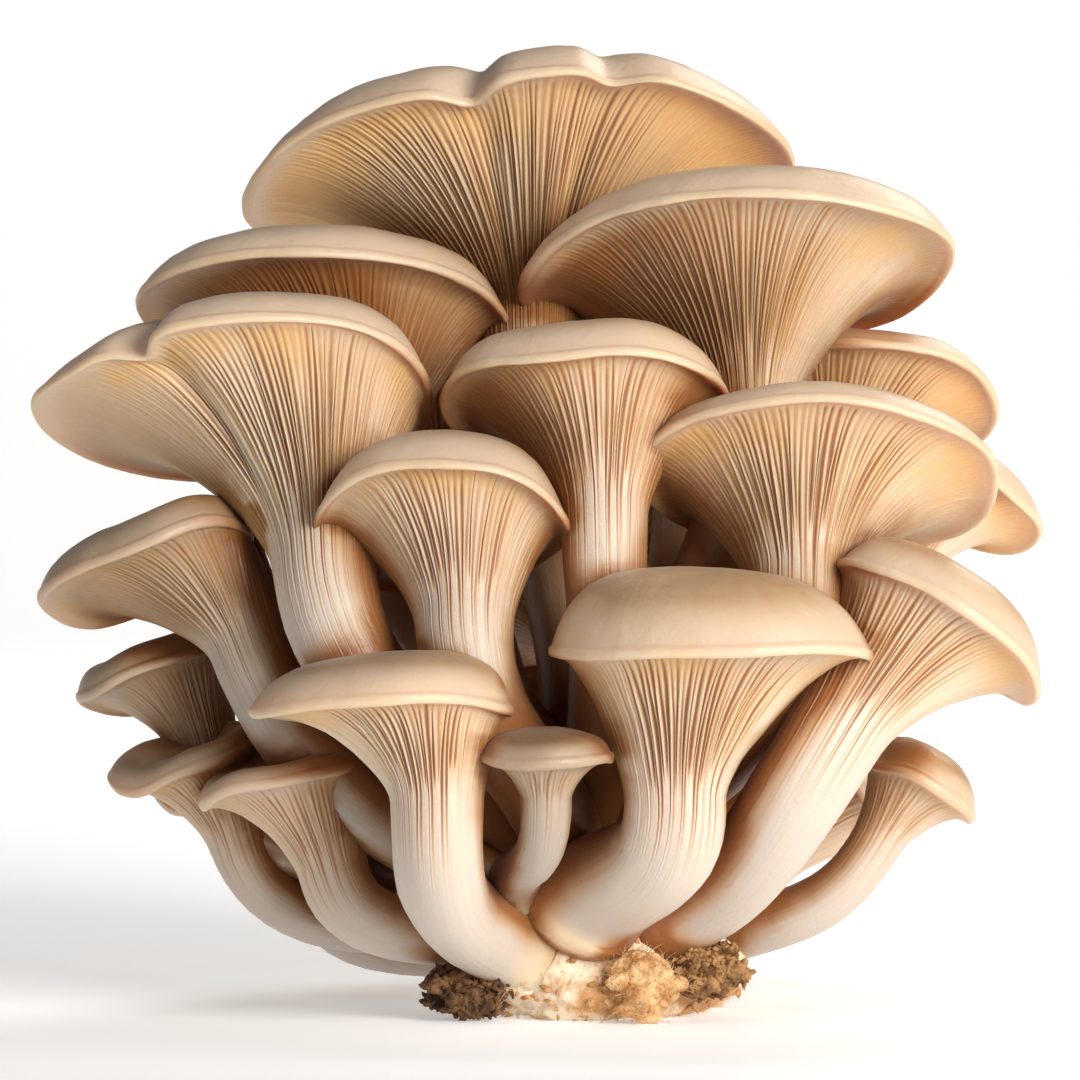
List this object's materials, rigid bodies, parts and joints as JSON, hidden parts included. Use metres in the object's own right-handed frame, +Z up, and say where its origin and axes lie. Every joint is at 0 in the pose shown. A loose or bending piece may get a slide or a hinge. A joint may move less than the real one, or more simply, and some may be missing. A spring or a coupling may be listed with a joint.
{
  "type": "oyster mushroom cluster",
  "caption": "Picked cluster of oyster mushrooms: gilled, fan-shaped caps on curved stems that grow from one shared foot with a flat cut underneath.",
  "frame": {"origin": "centre of the flat cut under the foot", "axes": "+X to the right in the picture, +Y to the back, away from the camera, +Z up"},
  "size_m": [0.1734, 0.1355, 0.1638],
  "materials": {
    "flesh": "matt, slightly silky mushroom flesh, tan on top and cream below",
    "foot": "matt, fibrous mushroom flesh",
    "substrate": "rough, crumbly straw and sawdust"
  },
  "bodies": {
    "root": {"crumb_front": "substrate", "crumb_left": "substrate", "crumb_right": "substrate", "foot": "foot", "mushroom_back_high": "flesh", "mushroom_back_left": "flesh", "mushroom_back_low": "flesh", "mushroom_back_low_left": "flesh", "mushroom_back_low_right": "flesh", "mushroom_back_lowest": "flesh", "mushroom_back_middle": "flesh", "mushroom_back_right": "flesh", "mushroom_centre": "flesh", "mushroom_centre_left": "flesh", "mushroom_far_right": "flesh", "mushroom_front_left": "flesh", "mushroom_front_right": "flesh", "mushroom_front_small": "flesh", "mushroom_left_low": "flesh", "mushroom_left_lowest": "flesh", "mushroom_left_mid": "flesh", "mushroom_left_wide": "flesh", "mushroom_low_edge": "flesh", "mushroom_low_left": "flesh", "mushroom_low_right": "flesh", "mushroom_right_behind": "flesh", "mushroom_right_lowest": "flesh", "mushroom_right_wide": "flesh", "mushroom_small_right": "flesh", "mushroom_top": "flesh", "mushroom_upper_left": "flesh", "mushroom_upper_right": "flesh"}
  },
  "joints": []
}
